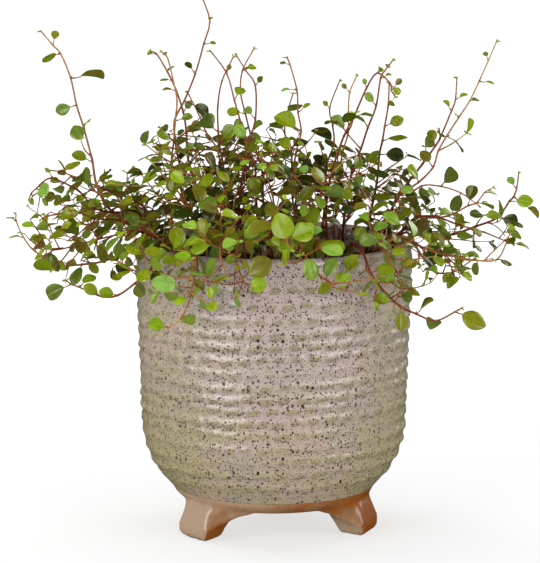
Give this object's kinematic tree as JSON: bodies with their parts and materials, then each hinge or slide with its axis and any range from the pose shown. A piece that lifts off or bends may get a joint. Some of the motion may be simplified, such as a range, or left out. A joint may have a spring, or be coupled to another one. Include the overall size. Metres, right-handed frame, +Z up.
{
  "type": "potted wire vine",
  "caption": "Wire vine of leafy zigzag shoots growing in potting soil in a ribbed, footed stoneware pot.",
  "frame": {"origin": "on the ground under the middle of the whole part's box, on the pot's axis to about 2 mm", "axes": "+Z up, the front of the pot towards -Y, +X to its right"},
  "size_m": [0.2645, 0.1931, 0.2662],
  "materials": {
    "stoneware": "satin speckled glaze over bare clay",
    "soil": "matte",
    "foliage": "satin"
  },
  "bodies": {
    "root": {"pot": "stoneware", "soil": "soil", "tall_01": "foliage", "tall_02": "foliage", "tall_03": "foliage", "tall_04": "foliage", "tall_05": "foliage", "tall_06": "foliage", "tall_07": "foliage", "tall_08": "foliage", "tall_09": "foliage", "tall_10": "foliage", "tall_11": "foliage", "tall_12": "foliage", "tall_13": "foliage", "tall_14": "foliage", "tall_15": "foliage", "tall_16": "foliage", "left_1": "foliage", "left_2": "foliage", "left_3": "foliage", "left_4": "foliage", "left_5": "foliage", "left_6": "foliage", "right_1": "foliage", "right_2": "foliage", "right_3": "foliage", "right_4": "foliage", "right_5": "foliage", "right_6": "foliage", "front_1": "foliage", "front_2": "foliage", "front_3": "foliage", "front_4": "foliage", "front_5": "foliage", "front_6": "foliage", "front_7": "foliage", "core_1": "foliage", "core_2": "foliage", "core_3": "foliage", "core_4": "foliage", "back_1": "foliage", "back_2": "foliage", "back_3": "foliage", "back_4": "foliage", "back_5": "foliage", "back_6": "foliage", "back_7": "foliage", "back_8": "foliage"}
  },
  "joints": []
}
